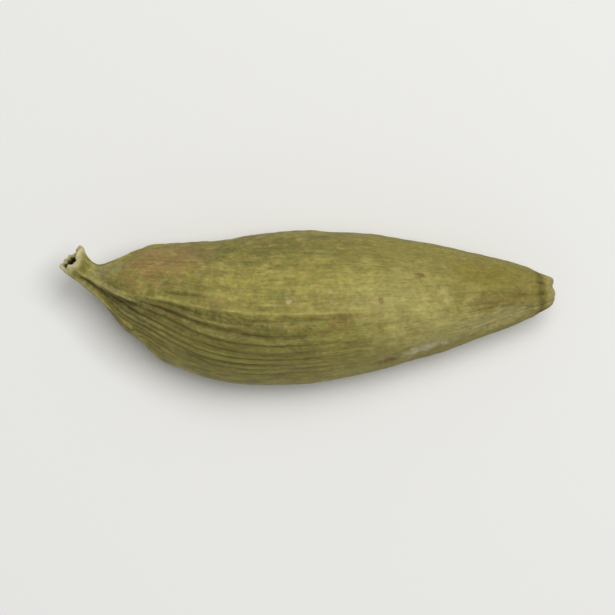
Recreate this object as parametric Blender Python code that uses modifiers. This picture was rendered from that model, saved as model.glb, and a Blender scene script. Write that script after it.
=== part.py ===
"""A dried green cardamom pod that lies on its belly.

The husk is one closed body. It is turned from its outline with a Screw, in a straight line, and then
laid along the pod's curved middle line, where it gets its three-sided section, its cords and ribs, the
bend of its stalk stub, the pucker of its tip and the small flat spot that it rests on.

Sizes are millimetres, and MM turns them to metres when the mesh is finished. A distance is always
measured along the middle line, from the mouth of the stalk stub. An angle is measured round the husk
from the ridge that lies uppermost, towards the ribbed lower side. A pair of distances is a stretch
over which something grows or fades.
"""

import bpy
import numpy as np

MM = 0.001

# Outline of the husk: distance from the stub's mouth and mean radius there
BORE = [(1.25, 0.0), (1.15, 0.22), (0.70, 0.31), (0.20, 0.40), (0.00, 0.50)]
OUTSIDE = [
    (0.00, 0.62),
    (0.30, 0.62),
    (0.90, 0.51),
    (1.50, 0.64),
    (2.15, 1.06),
    (3.00, 1.72),
    (4.20, 2.22),
    (6.60, 2.99),
    (10.1, 3.32),
    (13.3, 3.05),
    (16.4, 2.37),
    (19.4, 1.52),
    (20.9, 0.99),
]
SCAR = [(21.2, 0.78), (21.45, 0.72), (21.75, 0.60), (21.82, 0.42), (21.66, 0.18), (21.6, 0.0)]
ROW_LENGTH = 0.7
FEWEST_ROWS = 2
COLUMNS = 117

# Middle line: headings seen from above and the stub's rise, in degrees
STUB_HEADING = -40.5
SHOULDER_HEADING = -15.0
TIP_HEADING = 3.9
STUB_RISE = 20.0
STUB_BEND = (0.7, 1.9)
BODY_BEND = (5.3, 9.7)
LINE_STEP = 0.025

# Section: three rounded corners, a little wider than it is high
CORNERS = 3
CORNER_SHARE = 0.075
TIP_CORNER_SHARE = 0.13
SCAR_CORNER_SHARE = 0.03
CORNERS_GROW = (1.2, 5.0)
CORNERS_SHARPEN = (14.0, 19.0)
CORNERS_ROUND_OFF = (20.6, 21.4)
SQUASH = 0.90
SQUASH_GROWS = (1.5, 5.0)
SQUASH_FADES = (17.0, 21.0)
RIDGE_ANGLE = 90.0
RIDGE_LEAN = 6.0
RIDGE_LEANS = (4.0, 11.0)

# A raised cord on each corner, the uppermost first
CORD_HEIGHT = 0.15
CORD_WIDTH = 0.16
CORDS_GROW = (0.3, 1.2)
CORDS_FADE = [(11.0, 15.0), (13.0, 19.0), (13.0, 19.0)]
THINNEST_FOR_CORDS = 0.6

# Ribs all round, with a groove on every third column
RIBS = COLUMNS // 3
RIB_HEIGHT = 0.070
LOWER_RIBS = 1.0
UPPER_RIBS = 0.30
BELLY_RIBS = 0.55
SIDE_SPREAD = 0.42
RIBS_GROW = (1.0, 3.5)
RIBS_SOFTEN = (10.5, 16.5)
RIBS_KEPT = 0.25
RIBS_FADE = (19.0, 20.8)

# Bulges left by the seeds, the dent near the tip and the puckers round the scar
SWELL_HEIGHT = 0.05
SWELLS_GROW = (3.0, 6.0)
SWELLS_FADE = (17.0, 20.5)
DENT_AT = 19.8
DENT_LENGTH = 1.4
DENT_ANGLE = 32.0
DENT_SPREAD = 24.0
DENT_DEPTH = 0.20
PUCKERS = 9
PUCKERS_AT = 21.1
PUCKER_LENGTH = 0.5
PUCKER_HEIGHT = 0.04

# Uneven edges of the broken stub and of the scar's lip
RIM_UNEVEN = 0.13
RIM_REACH = (0.0, 0.9)
LIP_UNEVEN = 0.05
LIP_REACH = (21.4, 21.8)

# The flat spot is cut this far into the lowest stretch of the belly, and the relief ends above it
FLAT_DEPTH = 0.16
RELIEF_CLEARANCE = 0.45

HUSK_COLOUR = (0.30, 0.27, 0.075, 1.0)
HUSK_ROUGHNESS = 0.72


def ease(stretch, value):
    """0 up to the stretch's start, 1 from its end on, with a smooth rise between."""
    start, end = stretch
    share = np.clip((value - start) / (end - start), 0.0, 1.0)
    return share * share * (3.0 - 2.0 * share)


def hump(centre, width, value):
    """A smooth hill, 1 high at its centre."""
    return np.exp(-(((value - centre) / width) ** 2))


def wrapped(angle):
    """The same angle, between -pi and pi."""
    return (angle + np.pi) % (2.0 * np.pi) - np.pi


def smooth_through(points):
    """Points on a smooth curve through the given ones, one about every ROW_LENGTH."""
    points = np.array(points, dtype=float)
    before = 2.0 * points[0] - points[1]
    after = 2.0 * points[-1] - points[-2]
    padded = np.vstack([before, points, after])
    curve = []
    for first in range(len(points) - 1):
        a, b, c, d = padded[first : first + 4]
        rows = max(FEWEST_ROWS, round(np.linalg.norm(c - b) / ROW_LENGTH))
        for step in range(rows):
            t = step / rows
            bend = (2.0 * a - 5.0 * b + 4.0 * c - d) * t * t
            twist = (3.0 * b - 3.0 * c + d - a) * t * t * t
            curve.append(0.5 * (2.0 * b + (c - a) * t + bend + twist))
    curve.append(points[-1])
    return curve


def husk_profile():
    """Radius and height of the profile: up the bore, over the rim and down the outside to the scar."""
    outside = [tuple(point) for point in smooth_through(OUTSIDE)]
    return [(radius, -distance) for distance, radius in BORE + outside + SCAR]


def turned_husk(name):
    """The straight husk, turned from its profile about Z."""
    corners = [(radius, 0.0, height) for radius, height in husk_profile()]
    edges = [(first, first + 1) for first in range(len(corners) - 1)]
    mesh = bpy.data.meshes.new(name)
    mesh.from_pydata(corners, edges, [])
    husk = bpy.data.objects.new(name, mesh)
    bpy.context.scene.collection.objects.link(husk)
    turn = husk.modifiers.new("Turn", "SCREW")
    turn.axis = "Z"
    turn.steps = COLUMNS
    turn.render_steps = COLUMNS
    turn.use_merge_vertices = True
    turn.merge_threshold = 1e-5
    turn.use_smooth_shade = True
    bpy.context.view_layer.objects.active = husk
    husk.select_set(True)
    bpy.ops.object.modifier_apply(modifier=turn.name)
    return husk


def directions(distance):
    """The middle line's forward, sideways and upward directions at each distance."""
    body = SHOULDER_HEADING + (TIP_HEADING - SHOULDER_HEADING) * ease(BODY_BEND, distance)
    stub = 1.0 - ease(STUB_BEND, distance)
    heading = np.radians(body + (STUB_HEADING - SHOULDER_HEADING) * stub)
    fall = np.radians(STUB_RISE * stub)
    level = np.cos(fall)
    forward = np.stack([level * np.cos(heading), level * np.sin(heading), -np.sin(fall)], axis=1)
    sideways = np.stack([-np.sin(heading), np.cos(heading), np.zeros_like(heading)], axis=1)
    return forward, sideways, np.cross(forward, sideways)


def middle_line(distance):
    """Where the middle line is at each distance: its heading, followed in small steps."""
    fine = np.arange(0.0, SCAR[-1][0] + 1.0, LINE_STEP)
    steps = directions(fine[:-1] + 0.5 * LINE_STEP)[0] * LINE_STEP
    places = np.vstack([np.zeros(3), np.cumsum(steps, axis=0)])
    return np.stack([np.interp(distance, fine, places[:, axis]) for axis in range(3)], axis=1)


def section(distance, angle):
    """The three-sided section's radius as a share of its mean radius."""
    share = CORNER_SHARE * ease(CORNERS_GROW, distance)
    share = share + (TIP_CORNER_SHARE - CORNER_SHARE) * ease(CORNERS_SHARPEN, distance)
    share = share + (SCAR_CORNER_SHARE - TIP_CORNER_SHARE) * ease(CORNERS_ROUND_OFF, distance)
    return 1.0 + share * np.cos(CORNERS * angle)


def cords(distance, angle, radius):
    """Height of the three raised cords, each measured across from its own corner."""
    height = np.zeros_like(angle)
    for corner, fade in enumerate(CORDS_FADE):
        corner_angle = corner * 2.0 * np.pi / CORNERS
        across = wrapped(angle - corner_angle) * np.maximum(radius, THINNEST_FOR_CORDS)
        along = ease(CORDS_GROW, distance) * (1.0 - ease(fade, distance))
        height += hump(0.0, CORD_WIDTH, across) * along
    return CORD_HEIGHT * height


def ribs(distance, angle):
    """Height of the ribs: strong on the lower side, faint on the upper one, uneven in depth."""
    third = 2.0 * np.pi / CORNERS
    spread = SIDE_SPREAD * third
    lower = LOWER_RIBS * hump(0.5 * third, spread, wrapped(angle))
    upper = UPPER_RIBS * hump(-0.5 * third, spread, wrapped(angle))
    belly = BELLY_RIBS * hump(np.pi, spread, np.abs(wrapped(angle)))
    uneven = 0.85 + 0.20 * np.sin(5.0 * angle + 1.3) + 0.15 * np.sin(11.0 * angle + 0.15 * distance)
    along = ease(RIBS_GROW, distance) * (1.0 - ease(RIBS_FADE, distance))
    along = along * (1.0 - (1.0 - RIBS_KEPT) * ease(RIBS_SOFTEN, distance))
    return -RIB_HEIGHT * (lower + upper + belly) * uneven * along * np.cos(RIBS * angle)


def swells(distance, angle):
    """Height of the slow, shallow bulges."""
    rows = np.sin(2.1 * distance + 0.6) * np.cos(2.0 * angle + 0.4)
    patches = np.sin(1.15 * distance + 3.0 * angle + 2.8)
    along = ease(SWELLS_GROW, distance) * (1.0 - ease(SWELLS_FADE, distance))
    return 0.5 * SWELL_HEIGHT * (rows + patches) * along


def tip_folds(distance, angle):
    """Height of the puckers round the scar, less the dent on the lower side of the tip."""
    away = wrapped(angle - np.radians(DENT_ANGLE)) / np.radians(DENT_SPREAD)
    dent = DENT_DEPTH * hump(DENT_AT, DENT_LENGTH, distance) * hump(0.0, 1.0, away)
    folds = np.cos(PUCKERS * angle) * (0.7 + 0.3 * np.cos(2.0 * angle + 0.8))
    return PUCKER_HEIGHT * hump(PUCKERS_AT, PUCKER_LENGTH, distance) * folds - dent


def uneven_edges(distance, angle, radius):
    """How far the broken rim and the lip of the scar are moved along the middle line."""
    broken = 0.6 * np.sin(2.0 * angle + 0.5) + 0.4 * np.sin(5.0 * angle + 1.9)
    rim = RIM_UNEVEN * broken * (1.0 - ease(RIM_REACH, distance))
    lip = LIP_UNEVEN * np.sin(3.0 * angle + 1.0) * ease(LIP_REACH, distance) * ease((0.2, 0.6), radius)
    return rim + lip


def on_outside(distance, radius):
    """True off the bore's wall and floor."""
    depths, radii = zip(*reversed(BORE))
    return radius > np.interp(distance, depths, radii, right=0.0) + 0.05


def shaped(points):
    """The straight husk's points, in millimetres, laid along the middle line and given their form."""
    distance = -points[:, 2]
    radius = np.hypot(points[:, 0], points[:, 1])
    angle = np.arctan2(-points[:, 1], points[:, 0])
    relief = cords(distance, angle, radius) + ribs(distance, angle)
    relief = relief + swells(distance, angle) + tip_folds(distance, angle)
    relief = np.where(on_outside(distance, radius), relief, 0.0) * ease((0.0, 0.5), radius)

    forward, sideways, upward = directions(distance)
    place = middle_line(distance) + forward * uneven_edges(distance, angle, radius)[:, None]
    round_angle = angle + np.radians(RIDGE_ANGLE + RIDGE_LEAN * ease(RIDGE_LEANS, distance))
    squash = ease(SQUASH_GROWS, distance) * (1.0 - ease(SQUASH_FADES, distance))
    height_share = 1.0 - (1.0 - SQUASH) * squash
    outward = sideways * np.cos(round_angle)[:, None]
    outward = outward + upward * (height_share * np.sin(round_angle))[:, None]
    plain = place + outward * (radius * section(distance, angle))[:, None]

    floor = plain[:, 2].min() + FLAT_DEPTH
    clear = ease((0.0, RELIEF_CLEARANCE), plain[:, 2] - floor)
    finished = plain + outward * (relief * clear)[:, None]
    finished[:, 2] = np.maximum(finished[:, 2], floor)
    return finished


def onto_origin(points):
    """The points, moved so that the middle of the underside of their box is at the origin."""
    low = points.min(axis=0)
    high = points.max(axis=0)
    return points - np.array([0.5 * (low[0] + high[0]), 0.5 * (low[1] + high[1]), low[2]])


def shape_husk(husk):
    """Moves the turned husk's points to their finished places, in metres."""
    mesh = husk.data
    points = np.empty(len(mesh.vertices) * 3, dtype=np.float32)
    mesh.vertices.foreach_get("co", points)
    finished = onto_origin(shaped(points.reshape(-1, 3).astype(float))) * MM
    mesh.vertices.foreach_set("co", finished.astype(np.float32).ravel())
    mesh.update()
    mesh.shade_smooth()
    mesh.set_sharp_from_angle(angle=np.radians(60.0))


def husk_material():
    """Dried, matt, olive green husk."""
    material = bpy.data.materials.new("dried_green_husk")
    material.use_nodes = True
    shader = material.node_tree.nodes["Principled BSDF"]
    shader.inputs["Base Color"].default_value = HUSK_COLOUR
    shader.inputs["Roughness"].default_value = HUSK_ROUGHNESS
    shader.inputs["Metallic"].default_value = 0.0
    return material


def main():
    for old in list(bpy.data.objects):
        bpy.data.objects.remove(old)
    husk = turned_husk("cardamom_pod")
    shape_husk(husk)
    husk.data.materials.append(husk_material())
    pod = bpy.data.collections.new("green_cardamom_pod")
    bpy.context.scene.collection.children.link(pod)
    pod.objects.link(husk)
    bpy.context.scene.collection.objects.unlink(husk)


main()
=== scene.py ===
# %% [markdown]
# # A dried green cardamom pod
#
# A cardamom pod is a small dried fruit. Its husk has three rounded sides, and as it dried it shrank
# onto the rows of seeds inside, so its veins now stand up as ribs. It grew in one piece, so this
# lesson makes one piece too: a husk with a hollow stalk stub at its left end and a puckered flower
# scar at its right end.
#
# The measured pod is loaded first. It says where the pod lies and how big it is. Everything made
# here has to keep that form and add what the measured solid is too coarse to show.

import bpy
import numpy as np
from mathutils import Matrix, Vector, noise
from mathutils.bvhtree import BVHTree


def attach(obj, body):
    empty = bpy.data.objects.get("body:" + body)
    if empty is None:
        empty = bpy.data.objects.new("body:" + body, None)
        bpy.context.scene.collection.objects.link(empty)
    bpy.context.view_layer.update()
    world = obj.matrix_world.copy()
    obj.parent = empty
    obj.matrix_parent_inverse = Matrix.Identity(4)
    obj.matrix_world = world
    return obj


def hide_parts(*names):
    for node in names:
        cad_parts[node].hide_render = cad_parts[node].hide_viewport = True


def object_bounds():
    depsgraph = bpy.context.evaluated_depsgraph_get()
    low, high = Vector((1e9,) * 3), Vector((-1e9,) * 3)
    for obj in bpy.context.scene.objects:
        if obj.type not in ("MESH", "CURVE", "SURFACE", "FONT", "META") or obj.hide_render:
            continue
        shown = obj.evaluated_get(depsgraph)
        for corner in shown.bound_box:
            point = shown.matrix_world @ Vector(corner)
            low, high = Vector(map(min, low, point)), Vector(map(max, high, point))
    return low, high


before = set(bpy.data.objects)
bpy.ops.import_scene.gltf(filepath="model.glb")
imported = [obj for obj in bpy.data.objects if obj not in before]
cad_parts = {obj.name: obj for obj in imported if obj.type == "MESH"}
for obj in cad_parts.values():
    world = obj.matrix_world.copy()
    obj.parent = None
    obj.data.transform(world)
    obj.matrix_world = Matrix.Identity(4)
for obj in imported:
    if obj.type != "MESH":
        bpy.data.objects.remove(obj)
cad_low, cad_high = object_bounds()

MM = 0.001
NODE = "cardamom_pod"
print("measured pod, mm:", [round((b - a) / MM, 2) for a, b in zip(cad_low, cad_high)])

# %% [markdown]
# ## The camera
#
# The photograph looks straight down on the pods, from far away compared with their size. A long lens
# from well above gives that flat view: with a short lens the pod's back would look swollen. The pod
# lies along the picture's width, as in the photograph.

# %% Look straight down
LENS_MM = 200.0
SENSOR_MM = 36.0
FRAME_WIDTH = 27.0 * MM
MIDDLE_HEIGHT = 3.0 * MM

camera_height = MIDDLE_HEIGHT + FRAME_WIDTH * LENS_MM / SENSOR_MM
bpy.ops.object.camera_add(location=(0.0, 0.0, camera_height), rotation=(0.0, 0.0, 0.0))
camera = bpy.context.object
camera.name = "camera"
camera.data.lens = LENS_MM
camera.data.sensor_width = SENSOR_MM
camera.data.clip_start = 0.01
camera.data.clip_end = 10.0
bpy.context.scene.camera = camera
print("camera above the floor, mm:", round(camera_height / MM))

# %% [markdown]
# ## Colours and nodes
#
# Colours are written as sRGB hex values, as a colour picker shows them, and Blender's shaders want
# linear light, so one function turns them. A second small function adds a node with its settings
# and its links, so that a material reads as a list of what it does. A third starts a material.

# %% Three helpers for materials
def linear(hex_colour):
    """An sRGB hex colour as linear RGBA."""
    shares = [int(hex_colour[i : i + 2], 16) / 255.0 for i in (1, 3, 5)]
    curve = [s / 12.92 if s <= 0.04045 else ((s + 0.055) / 1.055) ** 2.4 for s in shares]
    return (*curve, 1.0)


def add_node(tree, kind, settings=(), **links):
    """Adds a node, sets its properties, and sets or links its inputs by name or by _number."""
    node = tree.nodes.new(kind)
    for name, value in dict(settings).items():
        setattr(node, name, value)
    for name, value in links.items():
        key = int(name[1:]) if name[0] == "_" else name.replace("_", " ")
        if isinstance(value, bpy.types.NodeSocket):
            tree.links.new(value, node.inputs[key])
        else:
            node.inputs[key].default_value = value
    return node


def new_material(name):
    """A material with its tree and its shader."""
    material = bpy.data.materials.new(name)
    material.use_nodes = True
    return material, material.node_tree, material.node_tree.nodes["Principled BSDF"]


print("middle grey, linear:", round(linear("#808080")[0], 3))

# %% [markdown]
# ## Floor and light
#
# A plain sheet of matt white card stands in for the photograph's white ground. The photograph is lit
# by one large soft source, high up and a little beyond the pod's upper right side in the picture.
# The pod's back is brightest beside its ridge, the ribbed side falls into soft shade, and the
# grooves between its ribs show. A weak, even sky fills the shadows.

# %% Lay the card and set the lights
FLOOR_WIDTH = 0.6
CARD = "#EDECE8"
CARD_ROUGHNESS = 0.9
SKY = "#F4F6FA"
SKY_STRENGTH = 0.34
KEY_DIRECTION = (0.20, 0.22, 0.95)
KEY_DISTANCE = 0.25
KEY_WIDTH = 0.15
KEY_WATTS = 0.47

bpy.ops.mesh.primitive_plane_add(size=FLOOR_WIDTH, location=(0.0, 0.0, 0.0))
floor = bpy.context.object
floor.name = "floor"
card, _, card_shader = new_material("matt_white_card")
card_shader.inputs["Base Color"].default_value = linear(CARD)
card_shader.inputs["Roughness"].default_value = CARD_ROUGHNESS
floor.data.materials.append(card)

key_place = [part * KEY_DISTANCE for part in KEY_DIRECTION]
bpy.ops.object.light_add(type="AREA", location=key_place)
key_light = bpy.context.object
key_light.name = "key_light"
key_light.data.size = KEY_WIDTH
key_light.data.energy = KEY_WATTS
key_light.rotation_mode = "QUATERNION"
key_light.rotation_quaternion = key_light.location.to_track_quat("Z", "Y")

world = bpy.data.worlds.new("soft_sky")
world.use_nodes = True
world.node_tree.nodes["Background"].inputs["Color"].default_value = linear(SKY)
world.node_tree.nodes["Background"].inputs["Strength"].default_value = SKY_STRENGTH
bpy.context.scene.world = world
bpy.context.scene.view_settings.view_transform = "Standard"
print("key light above the floor, mm:", round(key_place[2] / MM))

# %% [markdown]
# ## The straight husk
#
# The husk is first made straight and round, like something turned on a lathe, and bent and pinched
# afterwards. That way every point keeps two plain numbers: its distance along the pod and its angle
# round it, and all that follows, from the ridges to the colours, is a rule on those two numbers.
#
# By hand, one adds a circle, and extrudes and scales it ring by ring along the outline. The loop
# below does the same, and a Subdivision Surface then makes the rings fine enough for the ribs.

# %% Write down the outline
# Each pair is the distance from the stub's mouth and the mean radius there, in millimetres
BORE = [(1.25, 0.0), (1.15, 0.22), (0.70, 0.31), (0.20, 0.40), (0.00, 0.50)]
OUTSIDE = [
    (0.00, 0.62),
    (0.30, 0.62),
    (0.90, 0.51),
    (1.50, 0.64),
    (2.15, 1.06),
    (3.00, 1.72),
    (4.20, 2.22),
    (6.60, 2.99),
    (10.1, 3.32),
    (13.3, 3.05),
    (16.4, 2.37),
    (19.4, 1.52),
    (20.9, 0.99),
]
SCAR = [(21.2, 0.78), (21.45, 0.72), (21.75, 0.60), (21.82, 0.42), (21.66, 0.18), (21.6, 0.0)]
ROW_LENGTH = 0.5
FEWEST_ROWS = 2
COLUMNS = 96
LEVELS = 2


def smooth_through(points):
    """Points on a smooth curve through the given ones, one about every ROW_LENGTH."""
    points = np.array(points, dtype=float)
    before = 2.0 * points[0] - points[1]
    after = 2.0 * points[-1] - points[-2]
    padded = np.vstack([before, points, after])
    curve = []
    for first in range(len(points) - 1):
        a, b, c, d = padded[first : first + 4]
        rows = max(FEWEST_ROWS, round(np.linalg.norm(c - b) / ROW_LENGTH))
        for step in range(rows):
            t = step / rows
            bend = (2.0 * a - 5.0 * b + 4.0 * c - d) * t * t
            twist = (3.0 * b - 3.0 * c + d - a) * t * t * t
            curve.append(0.5 * (2.0 * b + (c - a) * t + bend + twist))
    curve.append(points[-1])
    return [tuple(point) for point in curve]


outline = BORE[1:] + smooth_through(OUTSIDE) + SCAR[:-1]
print("rings in the outline:", len(outline))


# %% Extrude a circle along the outline
def deselect_all():
    """Nothing stays selected, in object mode."""
    if bpy.context.mode != "OBJECT":
        bpy.ops.object.mode_set(mode="OBJECT")
    bpy.ops.object.select_all(action="DESELECT")


def straight_husk(name):
    """The husk before it is bent: closed rings from the bore's floor, over the rim, to the scar."""
    deselect_all()
    depth, radius = outline[0]
    bpy.ops.mesh.primitive_circle_add(
        vertices=COLUMNS, radius=radius * MM, fill_type="TRIFAN", location=(0.0, 0.0, -depth * MM)
    )
    husk = bpy.context.object
    husk.name = name
    bpy.ops.object.transform_apply(location=True, rotation=False, scale=False)
    bpy.ops.object.mode_set(mode="EDIT")
    bpy.ops.mesh.select_mode(type="EDGE")
    bpy.ops.mesh.select_all(action="DESELECT")
    bpy.ops.mesh.select_non_manifold(use_boundary=True, use_wire=False, use_multi_face=False)
    for distance, width in outline[1:]:
        step = {"value": (0.0, 0.0, (depth - distance) * MM)}
        bpy.ops.mesh.extrude_region_move(TRANSFORM_OT_translate=step)
        share = width / radius
        bpy.ops.transform.resize(value=(share, share, 1.0))
        depth, radius = distance, width
    last = {"value": (0.0, 0.0, (depth - SCAR[-1][0]) * MM)}
    bpy.ops.mesh.extrude_region_move(TRANSFORM_OT_translate=last)
    bpy.ops.mesh.merge(type="CENTER")
    bpy.ops.mesh.select_all(action="SELECT")
    bpy.ops.mesh.normals_make_consistent(inside=False)
    bpy.ops.object.mode_set(mode="OBJECT")
    finer = husk.modifiers.new("Finer", "SUBSURF")
    finer.levels = LEVELS
    finer.render_levels = LEVELS
    bpy.ops.object.modifier_apply(modifier=finer.name)
    return husk


husk = straight_husk("husk")
mesh = husk.data
print("straight husk:", len(mesh.vertices), "points")

# %% [markdown]
# ## Reading the two numbers
#
# On the straight husk they are easy to read: the distance is how far down the point is, the radius
# how far out, and the angle its direction, counted from the ridge that will lie uppermost towards
# the ribbed lower side.
#
# Three small rules shape nearly everything: a smooth rise, a smooth hill, and noise that is stretched
# along the pod, as plant fibres are.

# %% Read distance, radius and angle of every point
def read_points(mesh):
    """The mesh's points, in millimetres."""
    flat = np.empty(len(mesh.vertices) * 3, dtype=np.float32)
    mesh.vertices.foreach_get("co", flat)
    return flat.reshape(-1, 3).astype(float) / MM


def write_points(mesh, points):
    """Puts the points, in millimetres, back into the mesh."""
    mesh.vertices.foreach_set("co", (points * MM).astype(np.float32).ravel())
    mesh.update()


straight = read_points(mesh)
distance = -straight[:, 2]
radius = np.hypot(straight[:, 0], straight[:, 1])
angle = np.arctan2(-straight[:, 1], straight[:, 0])
print("distance to", round(float(distance.max()), 2), "mm, radius to", round(float(radius.max()), 2))


# %% Rises, hills and stretched noise
def ease(stretch, value):
    """0 up to the stretch's start, 1 from its end on, with a smooth rise between."""
    start, end = stretch
    share = np.clip((value - start) / (end - start), 0.0, 1.0)
    return share * share * (3.0 - 2.0 * share)


def hump(centre, width, value):
    """A smooth hill, 1 high at its centre."""
    return np.exp(-(((value - centre) / width) ** 2))


def wrapped(turn):
    """The same angle, between -pi and pi."""
    return (turn + np.pi) % (2.0 * np.pi) - np.pi


# Where each point would be on an even cylinder, so that fibres keep their number all along the pod
CYLINDER = 3.0
fibre_places = np.stack([CYLINDER * np.cos(angle), CYLINDER * np.sin(angle), distance], axis=1)


def grain(width, length, start=0.0):
    """Noise from -1 to 1 whose patches are this wide round the pod and this long along it, in mm."""
    scaled = fibre_places / np.array([width, width, length]) + start
    return np.array([noise.noise(place) for place in scaled.tolist()])


def mottle(size, start=0.0):
    """Noise from -1 to 1 with patches of one size in every direction, in mm."""
    scaled = straight / size + start
    return np.array([noise.noise(place) for place in scaled.tolist()])


print("a sample of the noise:", np.round(grain(1.0, 4.0)[:3], 3))

# %% [markdown]
# ## The form
#
# The middle line of the pod is gently bent, and the stub turns away from it and up. Its section has
# three rounded corners, is a little wider than it is high and gets sharper towards the tip. These are
# the measured pod's own rules, so the fine husk lands on the coarse one.

# %% Follow the middle line
STUB_HEADING = -40.5
SHOULDER_HEADING = -15.0
TIP_HEADING = 3.9
STUB_RISE = 20.0
STUB_BEND = (0.7, 1.9)
BODY_BEND = (5.3, 9.7)
LINE_STEP = 0.025


def directions(at):
    """The middle line's forward, sideways and upward directions at each distance."""
    body = SHOULDER_HEADING + (TIP_HEADING - SHOULDER_HEADING) * ease(BODY_BEND, at)
    stub = 1.0 - ease(STUB_BEND, at)
    heading = np.radians(body + (STUB_HEADING - SHOULDER_HEADING) * stub)
    fall = np.radians(STUB_RISE * stub)
    level = np.cos(fall)
    forward = np.stack([level * np.cos(heading), level * np.sin(heading), -np.sin(fall)], axis=1)
    sideways = np.stack([-np.sin(heading), np.cos(heading), np.zeros_like(heading)], axis=1)
    return forward, sideways, np.cross(forward, sideways)


def middle_line(at):
    """Where the middle line is at each distance: its heading, followed in small steps."""
    fine = np.arange(0.0, SCAR[-1][0] + 1.0, LINE_STEP)
    steps = directions(fine[:-1] + 0.5 * LINE_STEP)[0] * LINE_STEP
    places = np.vstack([np.zeros(3), np.cumsum(steps, axis=0)])
    return np.stack([np.interp(at, fine, places[:, axis]) for axis in range(3)], axis=1)


forward, sideways, upward = directions(distance)
middle = middle_line(distance)
print("the middle line is", round(float(np.ptp(middle[:, 0])), 2), "mm long along X")

# %% Three rounded corners
CORNERS = 3
CORNER_SHARE = 0.075
TIP_CORNER_SHARE = 0.13
SCAR_CORNER_SHARE = 0.03
CORNERS_GROW = (1.2, 5.0)
CORNERS_SHARPEN = (14.0, 19.0)
CORNERS_ROUND_OFF = (20.6, 21.4)
SQUASH = 0.90
SQUASH_GROWS = (1.5, 5.0)
SQUASH_FADES = (17.0, 21.0)
RIDGE_ANGLE = 90.0
RIDGE_LEAN = 6.0
RIDGE_LEANS = (4.0, 11.0)

corner = CORNER_SHARE * ease(CORNERS_GROW, distance)
corner = corner + (TIP_CORNER_SHARE - CORNER_SHARE) * ease(CORNERS_SHARPEN, distance)
corner = corner + (SCAR_CORNER_SHARE - TIP_CORNER_SHARE) * ease(CORNERS_ROUND_OFF, distance)
section = 1.0 + corner * np.cos(CORNERS * angle)
squash = ease(SQUASH_GROWS, distance) * (1.0 - ease(SQUASH_FADES, distance))
height_share = 1.0 - (1.0 - SQUASH) * squash
round_angle = angle + np.radians(RIDGE_ANGLE + RIDGE_LEAN * ease(RIDGE_LEANS, distance))
outward = sideways * np.cos(round_angle)[:, None]
outward = outward + upward * (height_share * np.sin(round_angle))[:, None]
print("section factor from", round(float(section.min()), 3), "to", round(float(section.max()), 3))

# %% [markdown]
# ## Veins and creases
#
# Each corner carries a raised cord, the thick vein of one seed chamber. On the neck the cords run
# together towards the stub, with a deep crease between the upper two. Each vein or crease follows a
# path that is written as a few pairs of distance and angle. A vein is a smooth hill across its path,
# and a crease is the same with its height below zero.

# %% Follow a path along the pod
THINNEST = 0.6
END_LENGTH = 0.7
WAVER = 0.05
FINE_WAVER = 0.02
MEAN_STRENGTH = 0.80
UNEVEN_STRENGTH = 0.55

# Paths waver sideways, in millimetres, and are stronger in one place and weaker in another
waver = WAVER * grain(1.2, 1.6, 4.0) + FINE_WAVER * grain(0.5, 0.7, 5.0)
broken_up = MEAN_STRENGTH + UNEVEN_STRENGTH * grain(0.8, 1.1, 6.0)


def along_path(path, half_width):
    """1 on a path of (distance, angle) pairs, falling to 0 beside it and at its ends."""
    at, around = zip(*path)
    turn = np.radians(np.interp(distance, at, around))
    across = wrapped(angle - turn) * np.maximum(radius, THINNEST)
    ends = ease((at[0], at[0] + END_LENGTH), distance)
    ends = ends * (1.0 - ease((at[-1] - END_LENGTH, at[-1]), distance))
    return hump(0.0, half_width, across + waver) * ends * broken_up


print("paths waver up to", round(float(np.abs(waver).max()), 3), "mm")

# %% Raise the three cords
CORD_HEIGHT = 0.15
CORD_WIDTH = 0.13
CORD_MEAN = 0.90
CORD_UNEVEN = 0.35
CORD_PATHS = [
    [
        (0.1, 25), (1.2, 15), (2.0, 18), (2.6, 16), (3.5, 7), (5.1, 1), (7.8, -2.5), (9.5, -2.5),
        (16.0, 0),
    ],
    [(0.1, 60), (1.4, 66), (2.7, 54), (3.5, 62), (4.6, 90), (6.5, 120), (19.0, 120)],
    [(0.1, -44), (1.7, -46), (2.6, -70), (3.4, -96), (5.0, -120), (19.0, -120)],
]
CORDS_FADE = [(10.5, 15.5), (13.0, 19.0), (13.0, 19.0)]

cord = np.zeros_like(angle)
for path, fade in zip(CORD_PATHS, CORDS_FADE):
    cord += along_path(path, CORD_WIDTH) * (1.0 - ease(fade, distance))
cord = cord * (CORD_MEAN + CORD_UNEVEN * grain(1.0, 1.6, 9.0))
print("cords:", round(float(CORD_HEIGHT * cord.max()), 2), "mm high")

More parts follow.
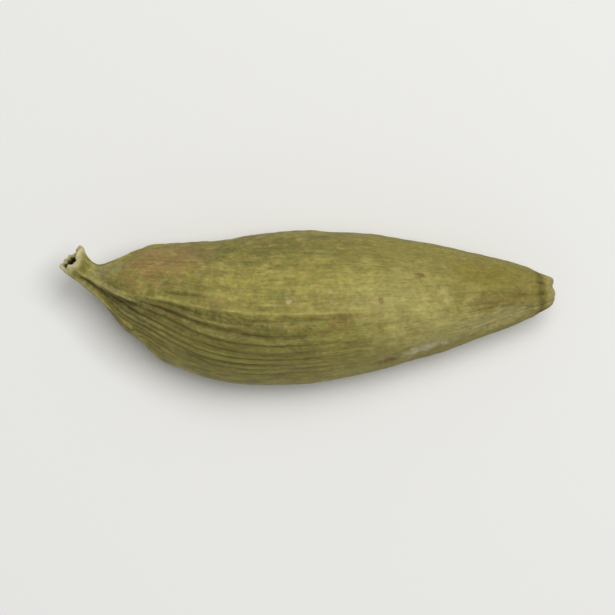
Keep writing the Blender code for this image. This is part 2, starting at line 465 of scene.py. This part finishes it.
# %% Draw the single veins and creases
# Each crease or vein: its path, half width and height in millimetres, and how dark its painted shade
# is
VEINS = [
    (
        [(0.5, 40), (1.2, 38), (2.0, 36), (2.8, 31), (3.6, 19), (4.4, 15), (5.2, 13.5)],
        0.16, -0.14, 0.85,
    ),
    (
        [(4.0, 16.5), (5.0, 14), (6.0, 12.5), (7.0, 12), (8.0, 13.5), (8.8, 15), (9.9, 20)],
        0.11, -0.11, 0.8,
    ),
    ([(3.0, 13), (4.2, 8), (5.7, 5), (7.9, 3), (11.4, 3), (12.4, 4)], 0.06, -0.06, 0.6),
    ([(4.2, -3), (5.2, -6), (5.8, -8.5), (6.9, -10)], 0.07, -0.10, 1.0),
    ([(4.4, 10), (5.6, 9), (8.4, 8.5)], 0.07, 0.05, 0.0),
    ([(8.4, -8.5), (10.4, -8.5)], 0.06, 0.035, 0.0),
    ([(5.6, 0), (6.5, -1.5), (7.8, -2.2), (9.5, -2.5), (11.8, -1.5), (13.4, -1)], 0.06, 0.05, 0.0),
    ([(17.2, -5), (18.0, -8), (18.8, -9), (19.8, -7), (20.5, 0), (21.0, 10)], 0.17, -0.12, 0.35),
    ([(18.0, 8), (19.0, 10), (20.2, 16), (20.9, 24)], 0.30, -0.05, 0.0),
]
veins = np.zeros_like(angle)
# Creases are darkened with painted shade, as strong as the last number of each entry
crease_shade = np.zeros_like(angle)
pale_veins = np.zeros_like(angle)
for path, half_width, height, dark in VEINS:
    share = along_path(path, half_width)
    veins += height * share
    crease_shade = np.maximum(crease_shade, dark * share)
    if height > 0.0:
        pale_veins = np.maximum(pale_veins, share)
print("creases:", round(float(-veins.min()), 2), "mm deep")

# %% [markdown]
# ## Ribs
#
# Between the cords run finer ribs. Sculpting forty ribs by hand would be slow and would look combed,
# so their valleys come from two rules. One is a wave round the pod that noise sways: the absolute
# value of a sine has rounded crests and sharp valleys. The other is noise itself: the lines where
# stretched noise passes zero wander, join and part as fibres do. A second noise breaks the crests
# into short lengths, deep here and faint there.

# %% Say where the ribs are strong
LOWER_START = (1.0, 16.0)
LOWER_END = (52.0, 90.0)
UPPER_RIBS = 0.15
BELLY_RIBS = 0.60
SIDE_SPREAD = 50.0
RIBS_GROW = (1.0, 3.5)
RIBS_SOFTEN = (7.5, 13.5)
RIBS_KEPT = 0.22
RIBS_FADE = (19.0, 20.8)
RIBS_MEAN = 0.85
RIBS_UNEVEN = 0.55
RIBS_BROKEN = 0.45
STRONGEST_RIB = 1.3
THIRD = 2.0 * np.pi / CORNERS

spread = np.radians(SIDE_SPREAD)
sides = ease(np.radians(LOWER_START), angle) * (1.0 - ease(np.radians(LOWER_END), angle))
sides = sides + UPPER_RIBS * hump(-0.5 * THIRD, spread, wrapped(angle))
sides = sides + BELLY_RIBS * hump(np.pi, spread, np.abs(wrapped(angle)))
along = ease(RIBS_GROW, distance) * (1.0 - ease(RIBS_FADE, distance))
along = along * (1.0 - (1.0 - RIBS_KEPT) * ease(RIBS_SOFTEN, distance))
uneven = RIBS_MEAN + RIBS_UNEVEN * grain(0.9, 3.2, 20.0) + RIBS_BROKEN * grain(0.45, 1.7, 25.0)
rib_share = np.clip(sides * along * uneven, 0.0, STRONGEST_RIB)
print("points with ribs:", int(np.count_nonzero(rib_share)))

# %% Press in the valleys between the ribs
RIBS = 43
FIRST_VALLEY = 5.0
RIB_HEIGHT = 0.11
SWAY = 1.8
FINE_SWAY = 0.7
VALLEY_SHARPNESS = 1.4
LINE_WIDTH = 0.16
WAVE_DEPTH = 0.70
LINE_DEPTH = 0.35
FINE_DEPTH = 0.20

sway = SWAY * grain(1.6, 4.5, 31.0) + FINE_SWAY * grain(0.7, 2.2, 35.0)
wave = 0.5 * (RIBS * (angle - np.radians(FIRST_VALLEY)) + sway)
wave_valley = (1.0 - np.abs(np.sin(wave))) ** VALLEY_SHARPNESS
line_valley = hump(0.0, LINE_WIDTH, grain(0.62, 5.5, 47.0))
fine_valley = hump(0.0, LINE_WIDTH, grain(0.34, 4.0, 53.0))
groove = WAVE_DEPTH * wave_valley + LINE_DEPTH * line_valley + FINE_DEPTH * fine_valley
groove = np.clip(groove, 0.0, 1.0)
ribs = -RIB_HEIGHT * rib_share * groove
print("valleys: deepest", round(float(ribs.min()), 3), "mm")

# %% [markdown]
# ## Swells, dent and puckers
#
# The seeds push the skin out in low swells, which two waves along and round the pod lay out. The
# ribbed side is dented near the tip, where no seed fills it, and just behind the flower's scar the
# skin is drawn together into nine puckers. A pucker's hollow is sharp and its crest round, so it is
# the same kind of wave as the ribs'.

# %% Let the seeds push out
SWELL_HEIGHT = 0.035
SWELLS_GROW = (3.0, 6.0)
SWELLS_FADE = (17.0, 20.5)
# How far the two waves turn in a millimetre along the pod, in radians
ROWS_PACE = 2.1
PATCHES_PACE = 1.15

rows = np.sin(ROWS_PACE * distance + 0.6) * np.cos(2.0 * angle + 0.4)
patches = np.sin(PATCHES_PACE * distance + 3.0 * angle + 2.8)
swells_along = ease(SWELLS_GROW, distance) * (1.0 - ease(SWELLS_FADE, distance))
swells = 0.5 * SWELL_HEIGHT * (rows + patches) * swells_along
print("swells: up to", round(float(swells.max()), 3), "mm")

# %% Dent the tip and draw the skin together
DENT_AT = 19.8
DENT_LENGTH = 1.4
DENT_ANGLE = 32.0
DENT_SPREAD = 24.0
DENT_DEPTH = 0.20
PUCKERS = 9
PUCKERS_AT = 21.1
PUCKER_LENGTH = 0.5
PUCKER_HEIGHT = 0.06
PUCKER_SWAY = 1.6
PUCKER_SHARPNESS = 1.5

dent_across = wrapped(angle - np.radians(DENT_ANGLE)) / np.radians(DENT_SPREAD)
dent = DENT_DEPTH * hump(DENT_AT, DENT_LENGTH, distance) * hump(0.0, 1.0, dent_across)
fold_turn = PUCKERS * angle + PUCKER_SWAY * grain(1.2, 1.2, 60.0)
folds = 1.0 - 2.0 * (1.0 - np.abs(np.sin(0.5 * fold_turn))) ** PUCKER_SHARPNESS
puckers = PUCKER_HEIGHT * hump(PUCKERS_AT, PUCKER_LENGTH, distance) * folds
print("dent:", round(float(dent.max()), 2), "mm deep")

# %% [markdown]
# ## Broken edges
#
# The stub was torn off its stalk, so its rim is ragged, and the flower's scar has an uneven lip. Both
# are moved along the middle line, by waves round the edge and a little noise. At one side the rim
# also flares outwards, where a thick strip of the stalk stayed on.

# %% Tear the rim and the lip
RIM_UNEVEN = 0.12
RIM_REACH = (0.0, 0.9)
FLARE_HEIGHT = 0.15
FLARE_ANGLE = -78.0
FLARE_SPREAD = 40.0
FLARE_REACH = (0.0, 0.45)
LIP_UNEVEN = 0.05
LIP_REACH = (21.4, 21.8)
LIP_RADII = (0.2, 0.6)
# Noise this long hardly changes along the pod, so both sides of an edge move together
EDGE_LENGTH = 50.0

broken = 0.6 * np.sin(2.0 * angle + 0.5) + 0.4 * np.sin(5.0 * angle + 1.9)
torn = 0.7 * grain(1.0, EDGE_LENGTH, 70.0) + 0.18 * grain(0.4, EDGE_LENGTH, 75.0)
rim_shift = RIM_UNEVEN * (broken + torn) * (1.0 - ease(RIM_REACH, distance))
lip_wave = np.sin(3.0 * angle + 1.0) + 0.9 * grain(0.8, EDGE_LENGTH, 80.0)
lip_shift = LIP_UNEVEN * lip_wave * ease(LIP_REACH, distance) * ease(LIP_RADII, radius)
edge_shift = rim_shift + lip_shift
flare_across = wrapped(angle - np.radians(FLARE_ANGLE)) / np.radians(FLARE_SPREAD)
flare = FLARE_HEIGHT * hump(0.0, 1.0, flare_across) * (1.0 - ease(FLARE_REACH, distance))
print("rim stands up to", round(float(rim_shift.max()), 2), "mm off its plane")

# %% [markdown]
# ## Into place
#
# Now the numbers are put together: a point goes to the middle line, then outwards by its radius, then
# out or in by its relief. The lowest stretch of the belly is pressed flat, where the pod lies on the
# floor. The relief ends above it, so that the flat spot is really flat.

# %% Shape the husk
FLAT_DEPTH = 0.16
RELIEF_CLEARANCE = 0.45
BORE_MARGIN = 0.05
AXIS_REACH = (0.0, 0.5)

depths, bore_radii = zip(*reversed(BORE))
outside = radius > np.interp(distance, depths, bore_radii, right=0.0) + BORE_MARGIN
off_axis = ease(AXIS_REACH, radius)
relief = CORD_HEIGHT * cord + veins + ribs + swells + puckers - dent + flare
relief = np.where(outside, relief, 0.0) * off_axis

place = middle + forward * edge_shift[:, None]
plain = place + outward * (radius * section)[:, None]
floor_height = plain[:, 2].min() + FLAT_DEPTH
clear = ease((0.0, RELIEF_CLEARANCE), plain[:, 2] - floor_height)
shaped = plain + outward * (relief * clear)[:, None]
write_points(mesh, shaped)
print("relief from", round(float(relief.min()), 2), "to", round(float(relief.max()), 2), "mm")

# %% [markdown]
# ## Fine skin
#
# Dry skin also has what no outline shows: hair-fine fibres, pits, and shallow crinkles across them.
# They are laid along the surface's own normals, so they stand the right way on the rim and the scar
# too. Then the husk is slid onto the measured pod, and the gap between the two is measured.

# %% Crinkle the skin
FIBRE_HEIGHT = 0.012
CRINKLE_HEIGHT = 0.026
BORE_CRINKLE = 0.3

normals = np.empty(len(mesh.vertices) * 3, dtype=np.float32)
mesh.vertex_normals.foreach_get("vector", normals)
normals = normals.reshape(-1, 3).astype(float)

fibres = grain(0.16, 2.0, 100.0) + 0.6 * grain(0.30, 3.0, 110.0)
crinkles = mottle(1.1, 120.0) + 0.7 * mottle(0.45, 130.0) + 0.45 * mottle(0.22, 140.0)
skin = FIBRE_HEIGHT * fibres + CRINKLE_HEIGHT * crinkles
skin = np.where(outside, skin, BORE_CRINKLE * skin) * clear
finished = shaped + normals * skin[:, None]
finished[:, 2] = np.maximum(finished[:, 2], floor_height)
print("skin relief, mm:", round(float(skin.min()), 3), "to", round(float(skin.max()), 3))

# %% Slide it onto the measured pod
low = finished.min(axis=0)
high = finished.max(axis=0)
cad_middle = 0.5 * (np.array(cad_low) + np.array(cad_high)) / MM
shift = cad_middle - 0.5 * (low + high)
shift[2] = -low[2]
write_points(mesh, finished + shift)

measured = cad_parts[NODE]
solid = BVHTree.FromPolygons(
    [measured.matrix_world @ v.co for v in measured.data.vertices],
    [tuple(p.vertices) for p in measured.data.polygons],
)
gaps = [solid.find_nearest(v.co)[3] / MM for v in mesh.vertices]
print("gap to the measured pod, mm: mean", round(float(np.mean(gaps)), 3), "most", round(max(gaps), 3))

# %% [markdown]
# ## Marks for the colours
#
# The colours follow the relief: grooves and creases are darkened with painted shade, cords and the
# crests of ribs pale, the torn rim cream, the puckers darkened and the bore painted nearly black, both
# with painted shade. Other marks are only colour: large soft fields, such as the blush on one
# shoulder, and small flecks and scuffs. Some fields are painted light instead: painted shade under the
# ridge, on the neck and in its valley, along the top edge and under the tip's crease, a painted pool
# of light on the back, and on the ribbed side its own darker colour with painted shade on top. Each is
# a share from 0 to 1 on every point, stored in the mesh as an attribute that the material reads. The
# places that its noise needs are stored as well.

# %% Write down the fields and flecks
# Each mark: distance, angle in degrees, half length and half width in mm, colour, strength
MARKS = {
    # ribbed_side: the ribbed side's own darker colour, with painted shade on top of it
    "ribbed_side": (7.0, 36, 5.2, 2.3, "#736D33", 0.75),
    # Painted shade below the ridge
    "under_ridge_shade": (7.2, 10, 4.4, 0.55, "#5F5829", 0.80),
    "neck_shade": (3.1, 30, 1.2, 0.55, "#4B4320", 0.75),
    # Painted shade in the valley under the neck's ridge
    "neck_valley_shade": (1.9, 37, 1.2, 0.17, "#3F3819", 0.70),
    "neck_ridge": (2.3, 14, 1.3, 0.16, "#B3A970", 0.70),
    "neck_low_cord": (1.7, 62, 1.2, 0.13, "#9C9468", 0.65),
    "neck_fan": (3.4, 46, 0.9, 0.34, "#857949", 0.50),
    "pale_flank": (16.6, 28, 2.9, 1.6, "#AFA563", 0.75),
    "pale_back": (14.4, -18, 2.6, 1.5, "#A89F5C", 0.60),
    "pale_tip": (19.3, 46, 1.8, 0.8, "#B3A86B", 0.80),
    # A painted pool of light on the back beside the ridge
    "back_painted_light": (10.2, -28, 4.6, 0.90, "#A1974C", 0.65),
    # Painted shade along the upper edge
    "top_edge_shade": (8.8, -68, 4.6, 1.1, "#746E30", 0.80),
    "blush": (4.3, -52, 2.0, 1.5, "#967549", 0.60),
    "grey_neck": (1.7, -36, 0.9, 0.5, "#9D966B", 0.65),
    "mustard": (19.0, -44, 1.7, 0.9, "#847726", 0.80),
    "tip_shade": (19.0, 3, 1.9, 0.38, "#74652C", 0.60),
    "brown_patch": (12.5, 5, 0.7, 0.45, "#73622E", 0.60),
    "scuff": (15.9, 63, 1.2, 0.42, "#BDB48C", 0.85),
    "scuff_spot": (14.3, 67, 0.50, 0.28, "#6A4322", 0.85),
    "speck": (15.9, -32, 0.28, 0.16, "#75582F", 0.80),
    "fleck_back": (10.2, -12, 0.17, 0.13, "#C2B886", 0.85),
    "fleck_side": (9.8, 20, 0.12, 0.08, "#ADA069", 0.80),
}
print("fields and flecks:", len(MARKS))


# %% Give each mark an uneven edge
LEAST_RADIUS = 0.3
MARK_EDGE = (0.35, 1.25)
RAGGEDNESS = 0.55
RAG_OF_WIDTH = 0.4
SMALLEST_RAG = 0.12
FINER = 0.4


def mark_share(at, around, half_length, half_width):
    """A patch with uneven edges on the husk's skin."""
    away = wrapped(angle - np.radians(around)) * np.maximum(radius, LEAST_RADIUS)
    size = np.hypot((distance - at) / half_length, away / half_width)
    rag = RAG_OF_WIDTH * half_width + SMALLEST_RAG
    edge = RAGGEDNESS * mottle(rag, at) + RAGGEDNESS * mottle(FINER * rag, at + 5.0)
    return np.where(outside, 1.0 - ease(MARK_EDGE, size + edge), 0.0)


mark_shares = {name: mark_share(*where) for name, (*where, _, _) in MARKS.items()}
print("points under the blush:", int(np.count_nonzero(mark_shares["blush"])))


# %% Store the marks
def store(name, values):
    """Keeps one number a point in the mesh."""
    mesh.attributes.new(name, "FLOAT", "POINT").data.foreach_set("value", values.astype(np.float32))


def store_places(name, places):
    """Keeps one place a point in the mesh, in millimetres."""
    kept = mesh.attributes.new(name, "FLOAT_VECTOR", "POINT")
    kept.data.foreach_set("vector", places.astype(np.float32).ravel())


for name, share in mark_shares.items():
    store(name, share)
store_places("fibre_place", fibre_places)
store_places("skin_place", straight)
print("stored:", len(MARKS), "marks and two kinds of place")

# %% Store the shares of the relief
rib_strength = np.clip(rib_share, 0.0, 1.0)
# The valleys between the ribs and the creases are darkened with painted shade
groove_shade_share = np.maximum(rib_strength * groove, crease_shade)
cord_share = np.clip(np.maximum(cord, pale_veins), 0.0, 1.0)
store("groove", np.where(outside, groove_shade_share, 0.0))
store("cord", np.where(outside, cord_share, 0.0))
store("rib", np.where(outside, rib_strength * (1.0 - groove) ** 2, 0.0))

# The mottle fades towards the tip, and on the ribbed side, where it would hide the ribs
EVEN_FROM = (10.5, 15.0)
RIBBED_EVENNESS = 0.75
ribbed = RIBBED_EVENNESS * np.clip(sides, 0.0, 1.0)
store("even", np.maximum(ease(EVEN_FROM, distance), ribbed))
print("darkest groove:", round(float(groove_shade_share.max()), 2))

# %% Store the shares of the two ends
RIM_COLOUR_ENDS = (0.10, 0.45)
RIM_COLOUR_RADII = (0.38, 0.48)
# The bore is painted nearly black: painted shade in the hollow
BORE_DARKENS = (0.03, 0.22)
# The middle of the scar's end face isn't outside either, so the bore's share stops before it
BORE_STOPS = (2.0, 2.1)
# Painted shade darkens the ring of puckers, more in the hollows of its folds
PUCKERS_DARKEST = 21.2
PUCKER_SHADE_LENGTH = 0.20
PUCKER_SHADE = 0.75
FOLD_SHADE = 0.15
LIP_COLOUR_STARTS = (21.36, 21.6)

rim_share = (1.0 - ease(RIM_COLOUR_ENDS, distance)) * ease(RIM_COLOUR_RADII, radius)
bore_shade_share = ease(BORE_DARKENS, distance) * (1.0 - ease(BORE_STOPS, distance))
pucker_share = hump(PUCKERS_DARKEST, PUCKER_SHADE_LENGTH, distance)
pucker_share = pucker_share * (PUCKER_SHADE - FOLD_SHADE * folds)
store("rim", rim_share)
store("bore", np.where(outside, 0.0, bore_shade_share))
store("pucker", np.where(outside, pucker_share, 0.0))
store("lip", ease(LIP_COLOUR_STARTS, distance))
print("stored:", [a.name for a in mesh.attributes if a.data_type in ("FLOAT", "FLOAT_VECTOR")])

# %% [markdown]
# ## The husk's finish
#
# Dried cardamom husk is matt plant skin with a trace of wax. It grew as a bundle of fibres under a
# thin skin, faded from green to straw as it dried, and was rubbed by other pods since. To the eye
# that gives a dull olive with no clear highlight, faint streaks along the fibres, and a fine mottle
# of greener and redder dots, a third of a millimetre across.

# %% Helpers that read and mix
husk_skin, tree, shader = new_material("dried_cardamom_husk")


def read_mark(name):
    """The socket with one of the stored marks."""
    return add_node(tree, "ShaderNodeAttribute", {"attribute_name": name}).outputs["Fac"]


def read_place(name):
    """The socket with one of the stored places."""
    return add_node(tree, "ShaderNodeAttribute", {"attribute_name": name}).outputs["Vector"]


def mixed(first, second, share, blend="MIX"):
    """The first colour, mixed with the second by a share that varies over the surface."""
    settings = {"data_type": "RGBA", "blend_type": blend}
    return add_node(tree, "ShaderNodeMix", settings, _0=share, _6=first, _7=second).outputs[2]


def stretched(share, low, high, least, most):
    """A value, stretched from between low and high to between least and most."""
    return add_node(
        tree, "ShaderNodeMapRange", {"clamp": True}, Value=share, From_Min=low, From_Max=high,
        To_Min=least, To_Max=most,
    ).outputs["Result"]


def skin_noise(place, width, length, detail, start):
    """Noise whose patches are width wide and length long along the fibres, in mm."""
    moved = add_node(
        tree, "ShaderNodeMapping", Vector=place, Location=(start, start, start),
        Scale=(1.0 / width, 1.0 / width, 1.0 / length),
    )
    return add_node(
        tree, "ShaderNodeTexNoise", Vector=moved.outputs["Vector"], Scale=1.0, Detail=detail,
        Roughness=0.6,
    ).outputs["Fac"]


print("material:", husk_skin.name)

# %% Write down the colours
HUSK = "#8C823F"
GREENER = "#6F7C38"
REDDER = "#96764B"
STRAW = "#A69C56"
SPOT = "#634422"
GROOVE_SHADE = "#453C17"
CORD = "#AAA056"
RIM = "#C5BC88"
BORE_SHADE = "#191307"
PUCKER_SHADE_COLOUR = "#52441A"
LIP_PALE = "#A79A5F"

# Each kind of dot: colour, width and length in mm, noise start, the noise where it begins and where
# it is full, strength
DOTS = [
    (GREENER, 0.36, 0.42, 11.0, 0.50, 0.70, 0.42),
    (REDDER, 0.30, 0.38, 23.0, 0.52, 0.72, 0.55),
    (STRAW, 0.26, 0.36, 29.0, 0.54, 0.72, 0.55),
]
# Each share of the relief: colour, the share where it begins and is full, strength
RELIEF_COLOURS = {
    "rib": (CORD, 0.1, 0.9, 0.35),
    "cord": (CORD, 0.2, 0.9, 0.65),
    # The grooves' colour is painted shade
    "groove": (GROOVE_SHADE, 0.04, 0.80, 0.52),
    # The puckers' colour is painted shade
    "pucker": (PUCKER_SHADE_COLOUR, 0.1, 0.9, 0.85),
    "lip": (LIP_PALE, 0.0, 1.0, 0.75),
}
print("kinds of dot:", len(DOTS), "shares of the relief:", len(RELIEF_COLOURS))

# %% Colour the husk
LIVELY_WHERE_EVEN = 0.50

fibre_place = read_place("fibre_place")
skin_place = read_place("skin_place")
lively = stretched(read_mark("even"), 0.0, 1.0, 1.0, LIVELY_WHERE_EVEN)


def fields(colour):
    """The large soft fields, some of them painted shade and one painted light, and the small flecks.
    """
    for name, (*_, mark_colour, strength) in MARKS.items():
        share = stretched(read_mark(name), 0.0, 1.0, 0.0, strength)
        colour = mixed(colour, linear(mark_colour), share)
    return colour


def mottled(plain):
    """Coloured dots, fainter towards the tip and on the ribbed side, and sparse brown spots."""
    colour = plain
    for dot, width, length, start, low, high, strength in DOTS:
        share = stretched(skin_noise(skin_place, width, length, 2.0, start), low, high, 0.0, strength)
        colour = mixed(colour, linear(dot), share)
    colour = mixed(plain, colour, lively)
    spots = skin_noise(skin_place, 0.50, 0.60, 1.0, 44.0)
    return mixed(colour, linear(SPOT), stretched(spots, 0.72, 0.78, 0.0, 0.45))


def streaked(colour):
    """Lighter and darker clouds and streaks, fainter in the same places, hairlines and a speckle."""
    clouds = skin_noise(skin_place, 0.55, 0.80, 2.0, 71.0)
    colour = mixed(colour, stretched(clouds, 0.32, 0.68, 0.82, 1.20), lively, "MULTIPLY")
    streaks = skin_noise(fibre_place, 0.20, 2.4, 2.0, 3.0)
    colour = mixed(colour, stretched(streaks, 0.30, 0.70, 0.90, 1.11), lively, "MULTIPLY")
    hairlines = skin_noise(fibre_place, 0.07, 1.1, 1.0, 83.0)
    colour = mixed(colour, stretched(hairlines, 0.30, 0.70, 0.90, 1.11), 1.0, "MULTIPLY")
    speckle = skin_noise(skin_place, 0.14, 0.20, 2.0, 37.0)
    return mixed(colour, stretched(speckle, 0.30, 0.70, 0.84, 1.16), 1.0, "MULTIPLY")


def relief_coloured(colour):
    """Pale ribs and cords, painted shade in grooves, puckers and bore, and the cream rim and pale lip.
    """
    for name, (relief_colour, low, high, strength) in RELIEF_COLOURS.items():
        share = stretched(read_mark(name), low, high, 0.0, strength)
        colour = mixed(colour, linear(relief_colour), share)
    colour = mixed(colour, linear(RIM), read_mark("rim"))
    return mixed(colour, linear(BORE_SHADE), read_mark("bore"))


tree.links.new(streaked(relief_coloured(mottled(fields(linear(HUSK))))), shader.inputs["Base Color"])
print("colour nodes:", len(tree.nodes))

# %% [markdown]
# The sheen stays dull: a rough surface, with the refractive index of a plant's wax. A bump adds the
# hair-fine fibres and pits that would need millions of faces.

# %% Roughness and the finest relief
WAX_IOR = 1.42
WAX_TRACE = 0.30
DULL = 0.62
BUMP_DEPTH = 0.04
BUMP_SHARE = 0.85

hairs = skin_noise(fibre_place, 0.09, 1.3, 3.0, 51.0)
pits = skin_noise(skin_place, 0.13, 0.18, 3.0, 67.0)
both = add_node(tree, "ShaderNodeMath", {"operation": "ADD"}, _0=hairs, _1=pits).outputs["Value"]
bump = add_node(
    tree, "ShaderNodeBump", Strength=BUMP_SHARE, Distance=BUMP_DEPTH * MM, Height=both
)
tree.links.new(bump.outputs["Normal"], shader.inputs["Normal"])
shader.inputs["Roughness"].default_value = DULL
shader.inputs["IOR"].default_value = WAX_IOR
shader.inputs["Specular IOR Level"].default_value = WAX_TRACE
mesh.materials.clear()
mesh.materials.append(husk_skin)
deselect_all()
husk.select_set(True)
bpy.context.view_layer.objects.active = husk
bpy.ops.object.shade_smooth()
print("husk material nodes:", len(tree.nodes))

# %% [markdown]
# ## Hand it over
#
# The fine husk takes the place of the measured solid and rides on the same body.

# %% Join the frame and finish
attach(husk, "root")
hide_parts(NODE)
